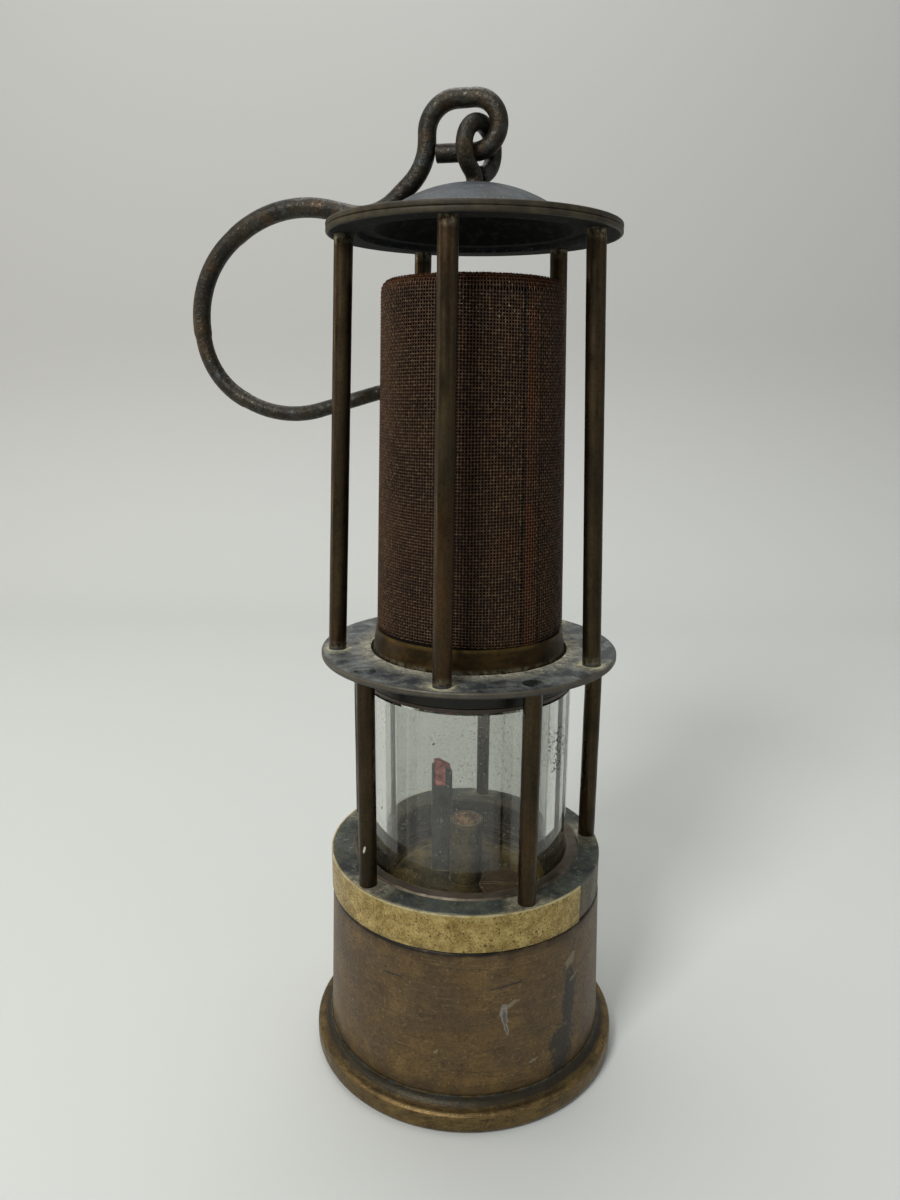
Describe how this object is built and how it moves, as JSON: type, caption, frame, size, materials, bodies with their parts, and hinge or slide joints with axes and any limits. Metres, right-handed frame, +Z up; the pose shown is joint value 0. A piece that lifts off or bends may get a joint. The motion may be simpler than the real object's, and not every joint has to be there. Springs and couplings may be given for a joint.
{
  "type": "miner's flame safety lamp",
  "caption": "Oil-burning miner's safety lamp: vessel with burner, thick glass in pillars, wire gauze in an upper cage, domed crown, and a wire hook on a swivelling eye.",
  "frame": {"origin": "centre of the lamp's flat foot, on its vertical axis, on the surface that it stands on", "axes": "+Z up along the lamp's axis; the pictured front looks along -Y; +X to the viewer's right"},
  "size_m": [0.127, 0.093, 0.2746],
  "materials": {
    "patinated_brass": "aged, brown-gold patina",
    "vessel_brass": "aged, mottled brown patina with scratches",
    "burner_brass": "dull, sooty",
    "charred_cotton": "charred cotton",
    "sooty_sheet": "sooty thin sheet",
    "red_cotton": "dyed cotton",
    "leather_washer": "oiled leather",
    "collar_iron": "dark slate patina",
    "pitted_brass": "pitted pale brass strip",
    "seat_brass": "dull pinkish brown brass",
    "lamp_glass": "clear thick glass",
    "sooty_brass": "near-black patina",
    "ferrule_brass": "worn brown brass",
    "wire_cloth": "woven wire with red-brown rust",
    "plate_iron": "slate grey with pale dust",
    "pillar_bronze": "dark brown bronze",
    "crown_iron": "blue-grey worn sheet with brown edges",
    "forged_iron": "dark iron wire with rust tints"
  },
  "bodies": {
    "vessel": {"base_ring": "patinated_brass", "vessel_bottom": "patinated_brass", "vessel_body": "vessel_brass", "vessel_top": "patinated_brass", "wick_tube": "burner_brass", "flat_tube": "sooty_sheet"},
    "cage": {"collar_ring": "collar_iron", "collar_band": "pitted_brass", "glass_seat_ring": "seat_brass", "lower_gasket": "leather_washer", "glass": "lamp_glass", "upper_gasket": "leather_washer", "gauze_ring": "sooty_brass", "gauze_ferrule": "ferrule_brass", "gauze": "wire_cloth", "mid_plate": "plate_iron", "lower_pillar_1": "pillar_bronze", "lower_pillar_2": "pillar_bronze", "lower_pillar_3": "pillar_bronze", "lower_pillar_4": "pillar_bronze", "lower_pillar_5": "pillar_bronze", "upper_pillar_1": "pillar_bronze", "upper_pillar_2": "pillar_bronze", "upper_pillar_3": "pillar_bronze", "upper_pillar_4": "pillar_bronze", "upper_pillar_5": "pillar_bronze", "crown_ring": "crown_iron", "crown_cap": "crown_iron"},
    "filler": {"filler_plug": "burner_brass", "filler_washer": "leather_washer"},
    "round_wick": {"round_wick": "charred_cotton"},
    "red_wick": {"red_wick": "red_cotton"},
    "swivel": {"swivel_eye": "forged_iron", "swivel_washer": "forged_iron"},
    "hook": {"hook": "forged_iron"}
  },
  "joints": [
    {"name": "cage_lift", "type": "slide", "parent": "vessel", "child": "cage", "axis": [0, 0, 1], "range_m": [0, 0.045]},
    {"name": "filler_lift", "type": "slide", "parent": "vessel", "child": "filler", "axis": [0, 0, 1], "range_m": [0, 0.012]},
    {"name": "round_wick_feed", "type": "slide", "parent": "vessel", "child": "round_wick", "axis": [0, 0, 1], "range_m": [0, 0.004]},
    {"name": "red_wick_feed", "type": "slide", "parent": "vessel", "child": "red_wick", "axis": [0, 0, 1], "range_m": [0, 0.003]},
    {"name": "swivel_turn", "type": "hinge", "parent": "cage", "child": "swivel", "pos_m": [0, 0, 0.2514], "axis": [0, 0, 1], "range_deg": [-41, 12]},
    {"name": "hook_swing", "type": "hinge", "parent": "swivel", "child": "hook", "pos_m": [0.00021, 0.00098, 0.2655], "axis": [0.208, 0.9781, 0], "range_deg": [0, 150]}
  ]
}
